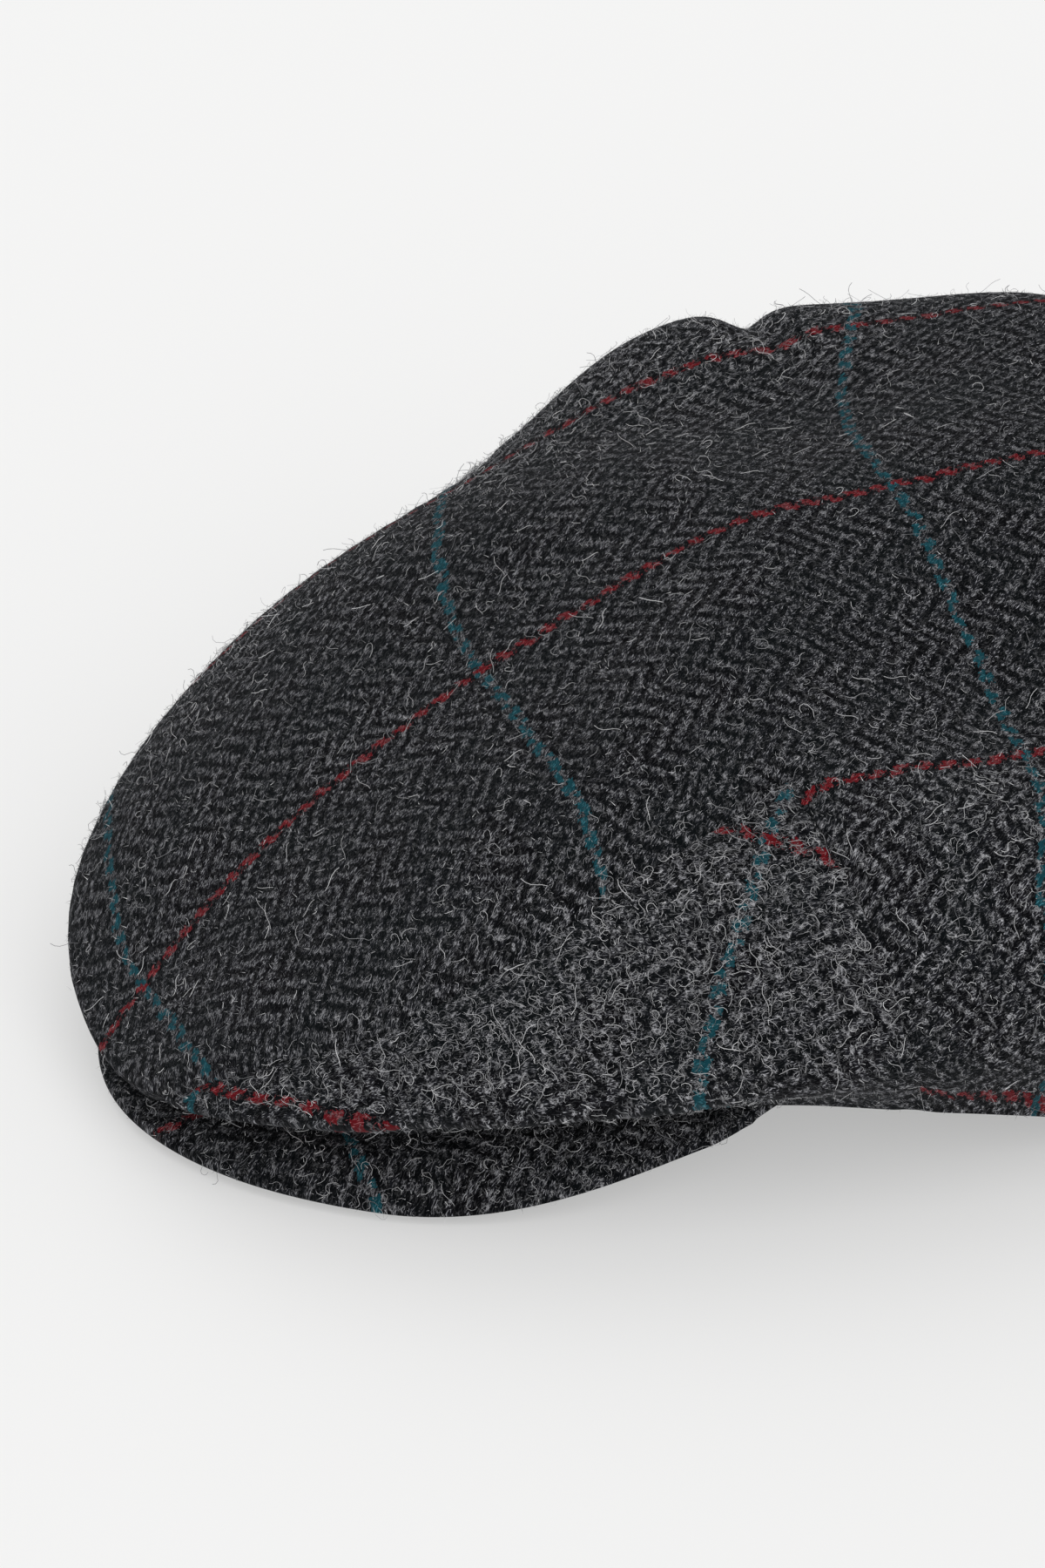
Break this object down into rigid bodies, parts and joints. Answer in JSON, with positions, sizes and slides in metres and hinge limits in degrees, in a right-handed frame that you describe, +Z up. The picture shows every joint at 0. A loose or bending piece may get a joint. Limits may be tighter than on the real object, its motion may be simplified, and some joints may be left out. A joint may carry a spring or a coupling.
{
  "type": "flat cap",
  "caption": "Soft woollen tweed flat cap with a low rounded crown that rolls forward over a short stiff peak, open underneath for the head.",
  "frame": {"origin": "middle of the footprint, on the surface that the cap rests on", "axes": "+Z up, the cap's front faces -Y, the wearer's left is +X"},
  "size_m": [0.2072, 0.272, 0.1092],
  "materials": {
    "tweed": "matt fulled wool tweed, charcoal herringbone with a thin dark red and teal windowpane check"
  },
  "bodies": {
    "root": {"top_panel": "tweed", "left_side_panel": "tweed", "right_side_panel": "tweed", "peak": "tweed"}
  },
  "joints": []
}
